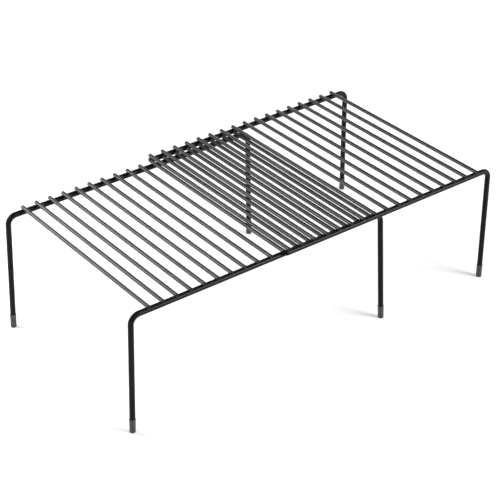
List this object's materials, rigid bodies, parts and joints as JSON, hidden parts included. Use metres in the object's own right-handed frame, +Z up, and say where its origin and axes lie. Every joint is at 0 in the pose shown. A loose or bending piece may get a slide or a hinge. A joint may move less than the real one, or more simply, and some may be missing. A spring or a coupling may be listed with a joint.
{
  "type": "expandable under sink shelf",
  "caption": "Free-standing wire shelf in two sections on capped legs; the extension's deck lies over the base's and slides along it to change the length.",
  "frame": {"origin": "middle of the footprint in the pictured pose, on the floor under the feet", "axes": "+X along the length from the base section to the extension, +Y from front to back, +Z up"},
  "size_m": [0.507, 0.263, 0.153],
  "materials": {
    "rail_coating": "black satin coat on bent steel wire",
    "wire_coating": "black satin coat on straight steel wire",
    "foot_cap": "soft matte gray"
  },
  "bodies": {
    "base": {"base_front_rail": "rail_coating", "base_back_rail": "rail_coating", "base_wire_01": "wire_coating", "base_wire_02": "wire_coating", "base_wire_03": "wire_coating", "base_wire_04": "wire_coating", "base_wire_05": "wire_coating", "base_wire_06": "wire_coating", "base_wire_07": "wire_coating", "base_wire_08": "wire_coating", "base_wire_09": "wire_coating", "base_wire_10": "wire_coating", "base_wire_11": "wire_coating", "base_wire_12": "wire_coating", "base_wire_13": "wire_coating", "base_wire_14": "wire_coating", "base_wire_15": "wire_coating", "base_wire_16": "wire_coating", "base_wire_17": "wire_coating", "base_wire_18": "wire_coating", "left_front_foot": "foot_cap", "left_back_foot": "foot_cap", "middle_front_foot": "foot_cap", "middle_back_foot": "foot_cap"},
    "extension": {"extension_front_rail": "rail_coating", "extension_back_rail": "rail_coating", "extension_wire_01": "wire_coating", "extension_wire_02": "wire_coating", "extension_wire_03": "wire_coating", "extension_wire_04": "wire_coating", "extension_wire_05": "wire_coating", "extension_wire_06": "wire_coating", "extension_wire_07": "wire_coating", "extension_wire_08": "wire_coating", "extension_wire_09": "wire_coating", "extension_wire_10": "wire_coating", "extension_wire_11": "wire_coating", "extension_wire_12": "wire_coating", "extension_wire_13": "wire_coating", "extension_wire_14": "wire_coating", "extension_wire_15": "wire_coating", "extension_wire_16": "wire_coating", "extension_wire_17": "wire_coating", "right_front_foot": "foot_cap", "right_back_foot": "foot_cap"}
  },
  "joints": [
    {"name": "extension_slide", "type": "slide", "parent": "base", "child": "extension", "axis": [1, 0, 0], "range_m": [-0.136, 0.102]}
  ]
}
